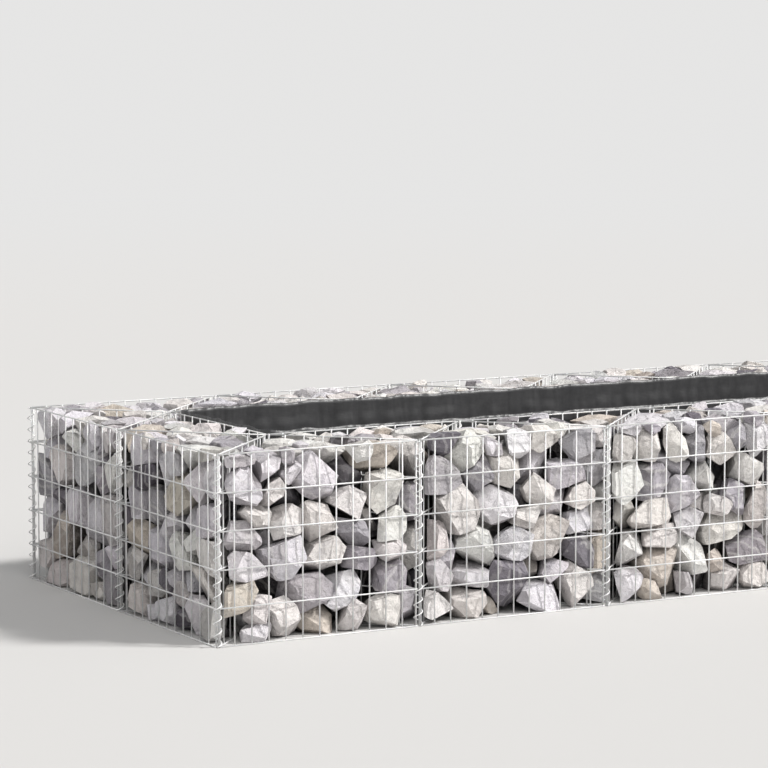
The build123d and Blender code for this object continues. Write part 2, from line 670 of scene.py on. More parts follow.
@dataclass
class MeshPanels:
    """The outer and inner wall panels and the slanting braces between them."""

    layout: Layout
    finish: GalvanisedWire = GalvanisedWire("mesh_wire")
    slot: str = "mesh_wire"
    slants: Span = (45.0, 135.0)
    material: bpy.types.Material = field(init=False)

    def build(self) -> None:
        """Build every sheet of mesh."""
        self.material = self.finish.material()
        layout = self.layout
        columns = [layout.column_pitch * column for column in range(1, layout.columns)]
        setback = layout.panel_setback
        wall = WeldedSheet(layout, setback, layout.bay - setback, columns)
        panel = wall.template("wall_sheet")
        brace = self.brace_sheet(layout.brace_setback).template("brace_sheet")
        corner = self.brace_sheet(layout.corner_setback).template("corner_sheet")
        for side in layout.sides:
            for number, place in enumerate(layout.outer_places(side), 1):
                self.show(panel, [place], f"{side.name}_panel_{number}")
            self.show(panel, layout.inner_places(side), f"{side.name}_inner_panels")
            joints = layout.outer_runs(side)[1:]
            braces = [side.spot(run, 0, turn) for turn in self.slants for run in joints]
            self.show(brace, braces, f"{side.name}_braces")
        corners = [side.spot(0, 0, self.slants[0]) for side in layout.sides]
        self.show(corner, corners, "corner_braces")

    def brace_sheet(self, far_setback: float) -> WeldedSheet:
        """Lay out a brace.

        Args:
            far_setback: How far short of the inner joint it ends.

        Returns:
            The brace's sheet.
        """
        layout = self.layout
        pitch = layout.brace_run / layout.brace_openings
        between = [pitch * step for step in range(1, layout.brace_openings)]
        end = layout.brace_run - far_setback
        return WeldedSheet(layout, layout.brace_setback, end, between)

    def show(self, template: bpy.types.Mesh, places: list[Matrix], node: str) -> None:
        """Set copies of a sheet in their places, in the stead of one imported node."""
        add_piece(gather(template, places, f"{node}_wires"), self.material, [node])


# Spirals


@dataclass
class SpiralShape:
    """A spiral of round wire about an upright axis near a joint."""

    layout: Layout
    radius: float
    shift: Span
    clear_angle: float
    wire: float = 0.003
    turns_per_row: int = 3
    steps_per_turn: int = 18
    facets: int = 7
    end_gap: float = 0.0015
    waver: float = 0.0005
    waver_spot: Span = (1.7, 4.1)
    waver_scale: float = 14.0
    sort_line: Triple = (0.31, 0.17, 1.0)

    def template(self, name: str) -> bpy.types.Mesh:
        """Build the spiral beside its joint's middle.

        Args:
            name: The mesh's name.

        Returns:
            The spiral's mesh.
        """
        pitch = self.layout.row_pitch / self.turns_per_row
        lowest = self.end_gap + self.wire / 2
        middle = self.layout.wire / 2 + pitch / 2
        start = self.clear_angle - 360 * (middle - lowest) / pitch
        turns = (self.layout.height - 2 * lowest) / pitch
        steps = round(turns * self.steps_per_turn)
        rise = math.atan(pitch / (math.tau * self.radius))
        shape = bmesh.new()
        ring = bmesh.ops.create_circle(
            shape, cap_ends=True, segments=self.facets, radius=self.wire / 2
        )
        upright = Matrix.Rotation(rise - math.pi / 2, 4, "X")
        place = Matrix.Translation((self.radius, 0, lowest)) @ upright
        bmesh.ops.transform(shape, matrix=place, verts=ring["verts"])
        bmesh.ops.spin(
            shape,
            geom=shape.verts[:] + shape.edges[:] + shape.faces[:],
            cent=(0, 0, 0),
            axis=(0, 0, 1),
            dvec=(0, 0, pitch * turns / steps),
            angle=math.tau * turns,
            steps=steps,
        )
        # A spin lists its faces in an order that changes from run to run.
        line = Vector(self.sort_line)
        shape.faces.sort(key=lambda face: face.calc_center_median().dot(line))
        for vert in shape.verts:
            spot = Vector((*self.waver_spot, vert.co.z * self.waver_scale))
            drift = noise.noise_vector(spot)
            vert.co += Vector((drift.x, drift.y, 0)) * self.waver
        turned = Matrix.Rotation(math.radians(start), 4, "Z")
        place = Matrix.Translation((*self.shift, 0)) @ turned
        bmesh.ops.transform(shape, matrix=place, verts=shape.verts)
        bmesh.ops.recalc_face_normals(shape, faces=shape.faces)
        round_sides(shape)
        return to_mesh(shape, name)


@dataclass
class SpiralJoiners:
    """The spirals that lace the sheets together at every joint."""

    layout: Layout
    finish: GalvanisedWire = GalvanisedWire(
        "spiral_wire", pale=(0.9, 0.9, 0.895), dull=(0.8, 0.805, 0.81)
    )
    slot: str = "spiral_wire"
    shift: float = 0.0015
    wall_radius: float = 0.0114
    wall_angle: float = 90.0
    corner_radius: float = 0.0104
    inner_corner_radius: float = 0.0121
    corner_angle: float = 45.0

    def build(self) -> None:
        """Build the spirals of every joint."""
        layout, shift = self.layout, self.shift
        material = self.finish.material()
        wall = SpiralShape(layout, self.wall_radius, (0, shift), self.wall_angle)
        wall_mesh = wall.template("wall_spiral")
        corner = SpiralShape(layout, self.corner_radius, (shift, shift), self.corner_angle)
        corner_mesh = corner.template("corner_spiral")
        inner = SpiralShape(layout, self.inner_corner_radius, (0, 0), self.corner_angle)
        inner_mesh = inner.template("inner_corner_spiral")
        groups = {}
        for side in layout.sides:
            groups[f"{side.name}_spirals"] = wall_mesh, layout.outer_places(side)[1:]
            inner_joints = layout.inner_places(side)[:-1]
            if inner_joints:
                groups[f"{side.name}_inner_spirals"] = wall_mesh, inner_joints
        groups["corner_spirals"] = corner_mesh, [side.spot(0) for side in layout.sides]
        inner_corners = [side.spot(layout.channel, layout.channel) for side in layout.sides]
        groups["inner_corner_spirals"] = inner_mesh, inner_corners
        for node, (template, places) in groups.items():
            add_piece(gather(template, places, f"{node}_wires"), material, [node])


# Stones


class Rock(Enum):
    """Kinds of stone in the fill: colour, share, strength of veins and of stains."""

    CREAM = ((0.92, 0.876, 0.852), 0.5, 0.25, 0.12)
    PALE_GREY = ((0.855, 0.828, 0.868), 0.27, 0.3, 0.08)
    MID_GREY = ((0.51, 0.485, 0.522), 0.11, 0.4, 0.1)
    SLATE = ((0.25, 0.234, 0.266), 0.05, 0.45, 0.05)
    TAN = ((0.79, 0.715, 0.64), 0.07, 0.2, 0.25)

    def __init__(self, colour: Colour, share: float, veins: float, stains: float) -> None:
        """Note what a kind of stone is like.

        Args:
            colour: The stone's own colour.
            share: Its share of all stones.
            veins: How strongly veins show at most.
            stains: How strongly stains show at most.
        """
        self.colour, self.share = colour, share
        self.veins, self.stains = veins, stains


@dataclass
class Quarry:
    """Breaks stones: blocks that are split by flat planes, some deep and some shallow."""

    draw: random.Random
    widths: Span = (0.64, 0.95)
    heights: Span = (0.44, 0.82)
    fewest_splits: int = 13
    most_splits: int = 20
    split_depths: Triple = (0.62, 1.1, 0.9)
    merge_angle: float = 8.0

    def direction(self) -> Vector:
        """A direction, even over the sphere."""
        return Vector([self.draw.gauss(0, 1) for _ in range(3)]).normalized()

    def turn(self) -> Matrix:
        """A turn about a direction of its own."""
        return Matrix.Rotation(self.draw.uniform(0, math.tau), 4, self.direction())

    def stone(self, size: float) -> bpy.types.Mesh:
        """Break one stone.

        Args:
            size: About how long the stone is.

        Returns:
            A closed mesh of flat facets about its own middle.
        """
        draw = self.draw
        shape = bmesh.new()
        form = Vector((1, draw.uniform(*self.widths), draw.uniform(*self.heights)))
        bmesh.ops.create_cube(shape, size=1)
        bmesh.ops.scale(shape, vec=form, verts=shape.verts)
        for _ in range(draw.randint(self.fewest_splits, self.most_splits)):
            normal = self.direction()
            reach = 0.5 * Vector([n * f for n, f in zip(normal, form)]).length
            depth = reach * draw.triangular(*self.split_depths)
            split(shape, normal * depth, normal)
        bmesh.ops.dissolve_limit(
            shape,
            angle_limit=math.radians(self.merge_angle),
            verts=shape.verts[:],
            edges=shape.edges[:],
        )
        bmesh.ops.scale(shape, vec=Vector((size, size, size)), verts=shape.verts)
        return to_mesh(shape, "stone")


@dataclass
class Lump:
    """One loose stone: its mesh, its cell and where it lies in that cell."""

    mesh: bpy.types.Mesh
    cell: int
    place: Matrix

    def points(self) -> list[Vector]:
        """Its corners, in its cell."""
        return [self.place @ vert.co for vert in self.mesh.vertices]


@dataclass
class DropTest:
    """Drops stones into copies of one three-cornered cell and lets them settle.

    The work is done ten times full size, where the solver is steady. The pull leans a little
    towards the mesh that shows, as stones are packed by hand. Every body is removed again.
    """

    corners: list[Vector]
    zoom: float = 10.0
    spacing: float = 1.5
    cells_in_row: int = 4
    wall: float = 0.08
    wall_middle: float = 1.2
    wall_height: float = 2.6
    wall_overlap: float = 0.02
    ground_middle: Triple = (0.3, 0.15, -0.05)
    ground_size: Triple = (0.9, 0.6, 0.1)
    gravity: float = 9.81
    lean: float = 0.2
    substeps: int = 6
    iterations: int = 12
    friction: float = 0.34
    wall_friction: float = 0.16
    margin: float = 0.008
    damping: Span = (0.08, 0.2)

    def origin(self, cell: int) -> Vector:
        """Where a cell stands during the drop."""
        row, column = divmod(cell, self.cells_in_row)
        return Vector((column, row, 0)) * self.spacing

    def add_body(self, shape: bmesh.types.BMesh, place: Matrix) -> bpy.types.Object:
        """Add a body at the size of the drop.

        Args:
            shape: Its shape at full size.
            place: Its place at full size.

        Returns:
            The body's object.
        """
        bmesh.ops.scale(shape, vec=Vector((1, 1, 1)) * self.zoom, verts=shape.verts)
        body = bpy.data.objects.new("drop", to_mesh(shape, "drop"))
        location, turn, _ = (Matrix.Scale(self.zoom, 4) @ place).decompose()
        body.location = location
        body.rotation_mode = "QUATERNION"
        body.rotation_quaternion = turn
        return body

    def board(self, cell: int, place: Matrix) -> bpy.types.Object:
        """Add a flat block to a cell.

        Args:
            cell: The cell's number.
            place: The matrix that carries a block of size 1 to its place and size.

        Returns:
            The block's object.
        """
        shape = bmesh.new()
        bmesh.ops.create_cube(shape, size=1)
        bmesh.ops.transform(shape, matrix=place, verts=shape.verts)
        return self.add_body(shape, Matrix.Translation(self.origin(cell)))

    def boards(self, cells: int) -> list[bpy.types.Object]:
        """Add the walls and the ground of each cell.

        Args:
            cells: How many cells there are.

        Returns:
            The blocks' objects.
        """
        bodies = []
        rise = Vector((0, 0, self.wall_middle))
        ground = Matrix.Translation(self.ground_middle) @ Matrix.Diagonal((*self.ground_size, 1))
        for cell in range(cells):
            for start, end in edges_round(self.corners):
                along = end - start
                across = Vector((along.y, -along.x, 0)).normalized()
                middle = (start + end) / 2 + across * self.wall / 2 + rise
                turn = Matrix.Rotation(math.atan2(along.y, along.x), 4, "Z")
                length = along.length + self.wall_overlap
                size = Matrix.Diagonal((length, self.wall, self.wall_height, 1))
                bodies.append(self.board(cell, Matrix.Translation(middle) @ turn @ size))
            bodies.append(self.board(cell, ground))
        return bodies

    def stone_body(self, lump: Lump) -> bpy.types.Object:
        """Add a stone.

        Args:
            lump: The stone, at its place in its cell.

        Returns:
            The stone's object.
        """
        shape = bmesh.new()
        shape.from_mesh(lump.mesh)
        return self.add_body(shape, Matrix.Translation(self.origin(lump.cell)) @ lump.place)

    def open_world(self, frames: int) -> bpy.types.RigidBodyWorld:
        """Start a world of falling bodies.

        Args:
            frames: How long it runs.

        Returns:
            The world, with nothing in it.
        """
        scene = bpy.context.scene
        bpy.ops.rigidbody.world_add()
        world = scene.rigidbody_world
        world.collection = bpy.data.collections.new("drop")
        world.substeps_per_frame = self.substeps
        world.solver_iterations = self.iterations
        pull = self.gravity * self.zoom
        scene.gravity = (0, -pull * self.lean, -pull)
        scene.frame_start, scene.frame_end = 1, frames
        world.point_cache.frame_start, world.point_cache.frame_end = 1, frames
        return world

    def set_body(self, solid: bpy.types.RigidBodyObject, falls: bool, friction: float) -> None:
        """Set how a body moves.

        Args:
            solid: The body's settings.
            falls: Whether it is loose.
            friction: How rough it is.
        """
        solid.type = "ACTIVE" if falls else "PASSIVE"
        solid.collision_shape = "CONVEX_HULL"
        solid.friction = friction
        solid.restitution = 0
        solid.use_margin = True
        solid.collision_margin = self.margin
        solid.linear_damping, solid.angular_damping = self.damping

    def settle(self, loose: list[Lump], fixed: list[Lump], cells: int, frames: int) -> None:
        """Let the loose stones fall, and note where they come to rest.

        Args:
            loose: Stones that fall; their places are changed.
            fixed: Stones that already lie still.
            cells: How many cells there are.
            frames: How long to wait.
        """
        scene = bpy.context.scene
        world = self.open_world(frames)
        boards = self.boards(cells)
        stones = [self.stone_body(lump) for lump in loose + fixed]
        for body in boards + stones:
            scene.collection.objects.link(body)
            world.collection.objects.link(body)
        for body in boards:
            self.set_body(body.rigid_body, False, self.wall_friction)
        for number, body in enumerate(stones):
            self.set_body(body.rigid_body, number < len(loose), self.friction)
        for frame in range(1, frames + 1):
            scene.frame_set(frame)
        for lump, body in zip(loose, stones):
            location, turn, _ = body.matrix_world.decompose()
            location = location / self.zoom - self.origin(lump.cell)
            lump.place = Matrix.Translation(location) @ turn.to_matrix().to_4x4()
        meshes = [body.data for body in boards + stones]
        bpy.data.collections.remove(world.collection)
        bpy.ops.rigidbody.world_remove()
        bpy.data.batch_remove(boards + stones)
        bpy.data.batch_remove(meshes)
        scene.frame_set(1)


@dataclass
class StoneFill:
    """Broken stone in every cell of the channel.

    Cells on opposite sides of the bed share their stones, turned half round and with new
    colours, so twelve cells are filled for twenty-four.
    """

    layout: Layout
    finish: BrokenStoneFinish = BrokenStoneFinish()
    slot: str = "broken_stone"
    seed: int = 41

    # The space for the stones of one cell.
    outer_gap: float = 0.0026
    brace_gap: float = 0.0056
    corner_cut: float = 0.021
    brim: float = 0.515
    foot: float = 0.0004
    stray: float = 0.004

    # The layers that fall first.
    sizes: tuple[float, ...] = (0.085, 0.1, 0.112, 0.122, 0.132, 0.142, 0.155, 0.172)
    size_spread: Span = (0.95, 1.05)
    wedge_sizes: Span = (0.11, 0.145)
    wedge_spot: Span = (0.074, 0.034)
    front_spots: tuple[Span, ...] = ((0.185, 0.055), (0.3, 0.05), (0.415, 0.055))
    behind_spots: tuple[Span, ...] = ((0.235, 0.15), (0.365, 0.15), (0.3, 0.225))
    raised: tuple[int, ...] = (3, 5, 6)
    scatter: Triple = (0.008, 0.006, 0.01)
    layers: int = 7
    first_rise: float = 0.06
    layer_rise: float = 0.175
    fit_tilt: float = 0.07
    fit_gap: float = 0.003
    fall_frames: int = 100

    # The smaller stones that fall on top: least and greatest size, and how many to a cell.
    toppings: tuple[tuple[Span, int], ...] = (((0.075, 0.11), 9), ((0.05, 0.08), 14))
    top_run: Span = (0.1, 0.5)
    top_margins: Span = (0.04, 0.05)
    top_rise: float = 0.6
    top_spacing: float = 0.8
    top_frames: int = 40

    # How stones that stand above the brim are struck off.
    struck: float = 0.018
    struck_shares: Span = (0.1, 1.0)
    struck_splits: int = 3
    struck_slopes: Span = (0.12, 0.55)
    least_stump: float = 0.045
    fewest_corners: int = 6

    # How a stone's facets are worn.
    long_edge: float = 0.019
    broad_facet: float = 0.0005
    hollow: float = 0.06
    hollow_spread: Span = (-1.0, 0.4)
    waver: float = 0.0026
    waver_scale: float = 20.0
    chipping: float = 0.0021
    chip_scale: float = 75.0
    crisp_angle: float = 20.0

    # How a stone is coloured.
    tones: Span = (0.9, 1.06)
    tint_spread: Span = (0.985, 1.015)
    palest: float = 0.92
    pattern_reach: float = 5.0
    crust_share: float = 0.24
    crusted: Span = (0.5, 1.0)
    clean: Span = (0.0, 0.12)
    # Painted shade: a stone's colour is darkened by up to this share where it lies deep among the
    # other stones, between these two depths from the mesh or the brim.
    painted_shade: float = 0.86
    shade_start_depth: float = 0.017
    full_shade_depth: float = 0.088

    def corners(self) -> list[Vector]:
        """Outline of a cell's stones: a triangle set in from the mesh, with cut corners.

        Returns:
            Its six corners, in order round the cell.
        """
        bay, channel = self.layout.bay, self.layout.channel
        low, slope = self.outer_gap, self.brace_gap * math.sqrt(2)
        left = Vector((low + slope, low, 0))
        right = Vector((bay - low - slope, low, 0))
        peak = Vector((channel, channel - slope, 0))
        outline = []
        for before, corner, after in (
            (peak, left, right),
            (left, right, peak),
            (right, peak, left),
        ):
            outline.append(corner + (before - corner).normalized() * self.corner_cut)
            outline.append(corner + (after - corner).normalized() * self.corner_cut)
        return outline

    def walls(self) -> list[tuple[Vector, Vector]]:
        """The sides of a cell's outline.

        Returns:
            A point and the outward direction of each.
        """
        walls = []
        for start, end in edges_round(self.corners()):
            along = (end - start).normalized()
            walls.append((start, Vector((along.y, -along.x, 0))))
        return walls

    def heap(self, quarry: Quarry, cell: int) -> list[Lump]:
        """Stones in loose layers over a cell, ready to fall.

        The stones of a layer that stand by the mesh get a flat face towards it, and the end
        ones are split to fit the sharp corners.

        Args:
            quarry: Where the stones come from.
            cell: The cell's number.

        Returns:
            The stones.
        """
        draw = quarry.draw
        end, low = self.wedge_spot
        wedges = ((end, low), (self.layout.bay - end, low))
        spots = wedges + self.front_spots + self.behind_spots
        across, inward, up = self.scatter
        lumps = []
        for layer in range(self.layers):
            rise = self.first_rise + layer * self.layer_rise
            for number, (x, y) in enumerate(spots):
                stagger = 0.5 * self.layer_rise * (number in self.raised)
                size = draw.choice(self.sizes) * draw.uniform(*self.size_spread)
                if number < len(wedges):
                    size = draw.uniform(*self.wedge_sizes)
                middle = Vector((x, y, rise + stagger + draw.uniform(-up, up)))
                middle += Vector((draw.uniform(-across, across), draw.uniform(-inward, inward), 0))
                turn = quarry.turn()
                lump = Lump(quarry.stone(size), cell, Matrix.Translation(middle) @ turn)
                self.fit(lump, draw)
                lumps.append(lump)
        return lumps

    def fit(self, lump: Lump, draw: random.Random) -> None:
        """Split away what of a stone reaches outside its cell.

        Args:
            lump: The stone; its mesh and place are changed.
            draw: The source of the slight tilt of each split.
        """
        shape = bmesh.new()
        shape.from_mesh(lump.mesh)
        bmesh.ops.transform(shape, matrix=lump.place, verts=shape.verts)
        rise = Vector((0, 0, lump.place.translation.z))
        for start, outward in self.walls():
            tilt = draw.uniform(-self.fit_tilt, self.fit_tilt)
            normal = Vector((outward.x, outward.y, tilt)).normalized()
            split(shape, start - normal * self.fit_gap + rise, normal)
        middle = sum((vert.co for vert in shape.verts), Vector()) / max(len(shape.verts), 1)
        bmesh.ops.translate(shape, vec=-middle, verts=shape.verts)
        shape.to_mesh(lump.mesh)
        shape.free()
        lump.place = Matrix.Translation(middle)

    def strike(self, lump: Lump, draw: random.Random) -> bool:
        """Break off what of a stone stands above the mesh, and leave a low peak.

        Args:
            lump: The stone, at rest; its mesh is changed.
            draw: The source of the splits' height and slopes.

        Returns:
            Whether the stone lies in its cell and enough of it is left.
        """
        reach = lump.points()
        if not self.holds(reach):
            return False
        lowest, highest = min(spot.z for spot in reach), max(spot.z for spot in reach)
        if highest < self.brim:
            return True
        if lowest > self.brim - self.least_stump:
            return False
        shape = bmesh.new()
        shape.from_mesh(lump.mesh)
        bmesh.ops.transform(shape, matrix=lump.place, verts=shape.verts)
        middle = sum(reach, Vector()) / len(reach)
        drop = draw.uniform(*self.struck_shares) * self.struck
        peak = Vector((middle.x, middle.y, self.brim - drop))
        turn = draw.uniform(0, math.tau)
        for number in range(self.struck_splits):
            azimuth = turn + number * math.tau / self.struck_splits
            slope = draw.uniform(*self.struck_slopes)
            normal = Vector((math.cos(azimuth) * slope, math.sin(azimuth) * slope, 1))
            split(shape, peak, normal.normalized())
        bmesh.ops.transform(shape, matrix=lump.place.inverted(), verts=shape.verts)
        whole = len(shape.verts) >= self.fewest_corners
        shape.to_mesh(lump.mesh)
        shape.free()
        return whole

    def holds(self, reach: list[Vector]) -> bool:
        """Find whether points lie in the cell, but for a slight press against its sides.

        Args:
            reach: The points.

        Returns:
            Whether all of them do.
        """
        for start, outward in self.walls():
            if max((spot - start).dot(outward) for spot in reach) > self.stray:
                return False
        return min(spot.z for spot in reach) > -self.stray

    def topping(self, quarry: Quarry, cell: int, sizes: Span, count: int) -> list[Lump]:
        """Smaller stones over a filled cell, for the hollows at the top.

        Args:
            quarry: Where the stones come from.
            cell: The cell's number.
            sizes: Size of the smallest and of the largest.
            count: How many there are.

        Returns:
            The stones, ready to fall.
        """
        draw = quarry.draw
        near, far = self.top_margins
        spacing = self.top_spacing * sizes[1]
        lumps = []
        for number in range(count):
            x = draw.uniform(*self.top_run)
            y = draw.uniform(near, min(x, self.layout.bay - x) - far)
            place = Matrix.Translation((x, y, self.top_rise + spacing * number)) @ quarry.turn()
            lumps.append(Lump(quarry.stone(draw.uniform(*sizes)), cell, place))
        return lumps

    def fill(self, cells: int) -> list[Lump]:
        """Fill the cells and strike them off level with the mesh.

        Args:
            cells: How many different cells to fill.

        Returns:
            Every stone that stays, at rest.
        """
        quarry = Quarry(random.Random(self.seed))
        test = DropTest(self.corners())
        lumps = [lump for cell in range(cells) for lump in self.heap(quarry, cell)]
        test.settle(lumps, [], cells, self.fall_frames)
        kept = [lump for lump in lumps if self.strike(lump, quarry.draw)]
        LOG.info("stones: %d of %d stay", len(kept), len(lumps))
        for sizes, count in self.toppings:
            lumps = [
                lump for cell in range(cells) for lump in self.topping(quarry, cell, sizes, count)
            ]
            test.settle(lumps, kept, cells, self.top_frames)
            stayed = [lump for lump in lumps if self.strike(lump, quarry.draw)]
            LOG.info("stones on top: %d of %d stay", len(stayed), len(lumps))
            kept += stayed
        return kept

    def dress(self, lump: Lump, place: Matrix, outer: bool, draw: random.Random) -> bpy.types.Mesh:
        """Wear a stone's edges, give it its own colour and grain, and paint shade on it deep among
        the other stones.

        Args:
            lump: The stone.
            place: Where its cell stands.
            outer: Whether the cell lies along the outer mesh.
            draw: The source of the stone's colour and grain.

        Returns:
            The stone's mesh, in its place in the frame.
        """
        rock = draw.choices(list(Rock), [kind.share for kind in Rock])[0]
        tone = draw.uniform(*self.tones)
        colour = [
            min(channel * tone * draw.uniform(*self.tint_spread), self.palest)
            for channel in rock.colour
        ]
        marks = (rock.veins * draw.random(), rock.stains * draw.random(), 0)
        angle = draw.uniform(0, math.tau)
        turn = Matrix.Rotation(angle, 3, Vector([draw.gauss(0, 1) for _ in range(3)]))
        reach = self.pattern_reach
        offset = Vector([draw.uniform(-reach, reach) for _ in range(3)])
        shape = bmesh.new()
        shape.from_mesh(lump.mesh)
        crust = shape.faces.layers.float.new("crust")
        for face in shape.faces:
            span = self.crusted if draw.random() < self.crust_share else self.clean
            face[crust] = draw.uniform(*span)
        self.wear(shape, turn, offset, draw)
        tint = shape.verts.layers.float_color.new("tint")
        mark = shape.verts.layers.float_color.new("marks")
        grain = shape.verts.layers.float_vector.new("grain")
        bmesh.ops.transform(shape, matrix=lump.place, verts=shape.verts)
        self.press(shape)
        for vert in shape.verts:
            # Painted shade: the colour grows darker the deeper the spot lies among the other
            # stones.
            unshaded_share = 1 - self.painted_shade * self.recess_shade(vert.co, outer)
            vert[tint] = (*[channel * unshaded_share for channel in colour], 1)
            vert[mark] = (*marks, 1)
            vert[grain] = turn @ vert.co + offset
        bmesh.ops.transform(shape, matrix=place, verts=shape.verts)
        return to_mesh(shape, "stone")

    def wear(
        self,
        shape: bmesh.types.BMesh,
        turn: Matrix,
        offset: Vector,
        draw: random.Random,
    ) -> None:
        """Give a stone finer faces, hollows and chips.

        Args:
            shape: The stone, about its own middle.
            turn: How the pattern of chips is turned.
            offset: How far the pattern is moved.
            draw: The source of the hollows' depths.
        """
        long_edges = [edge for edge in shape.edges if edge.calc_length() > self.long_edge]
        bmesh.ops.subdivide_edges(shape, edges=long_edges, cuts=1)
        for face in [face for face in shape.faces if face.calc_area() > self.broad_facet]:
            depth = math.sqrt(face.calc_area()) * self.hollow * draw.uniform(*self.hollow_spread)
            bmesh.ops.poke(shape, faces=[face], offset=depth, center_mode="MEAN_WEIGHTED")
        for vert in shape.verts:
            spot = turn @ vert.co
            vert.co += noise.noise_vector(spot * self.waver_scale + offset) * self.waver
            vert.co += noise.noise_vector(spot * self.chip_scale + offset) * self.chipping
        for face in shape.faces:
            face.smooth = True
        for edge in shape.edges:
            edge.smooth = edge.calc_face_angle(0) < math.radians(self.crisp_angle)

    def press(self, shape: bmesh.types.BMesh) -> None:
        """Press a stone's points back behind the sides, the ground and the brim of its cell.

        Args:
            shape: The stone, in its cell.
        """
        for start, outward in self.walls():
            for vert in shape.verts:
                vert.co -= outward * max((vert.co - start).dot(outward), 0)
        for vert in shape.verts:
            vert.co.z = min(max(vert.co.z, self.foot), self.brim)

    def recess_shade(self, spot: Vector, outer: bool) -> float:
        """Find how far a spot lies among the other stones, where painted shade darkens it.

        Args:
            spot: The spot, in its cell.
            outer: Whether the cell lies along the outer mesh.

        Returns:
            A share from 0 to 1.
        """
        inward = spot.y if outer else self.layout.channel - spot.y
        depth = min(inward, self.brim - spot.z)
        share = min(max((depth - self.shade_start_depth) / (self.full_shade_depth - self.shade_start_depth), 0), 1)
        return share * share * (3 - 2 * share)

    def build(self) -> None:
        """Build the stones of every side."""
        material = self.finish.material()
        layout = self.layout
        long_cells, short_cells = 2 * layout.bays_long - 1, 2 * layout.bays_deep - 1
        lumps = self.fill(long_cells + short_cells)
        for turn, side in enumerate(layout.sides):
            first = long_cells * (turn % 2)
            places = layout.outer_places(side) + layout.inner_places(side)
            draw = random.Random(f"{side.name} {self.seed}")
            shape = bmesh.new()
            for number, place in enumerate(places):
                for lump in lumps:
                    if lump.cell == first + number:
                        stone = self.dress(lump, place, number < side.bays, draw)
                        shape.from_mesh(stone)
                        bpy.data.meshes.remove(stone)
            node = f"{side.name}_stones"
            add_piece(to_mesh(shape, f"{node}_fill"), material, [node])


# Liner


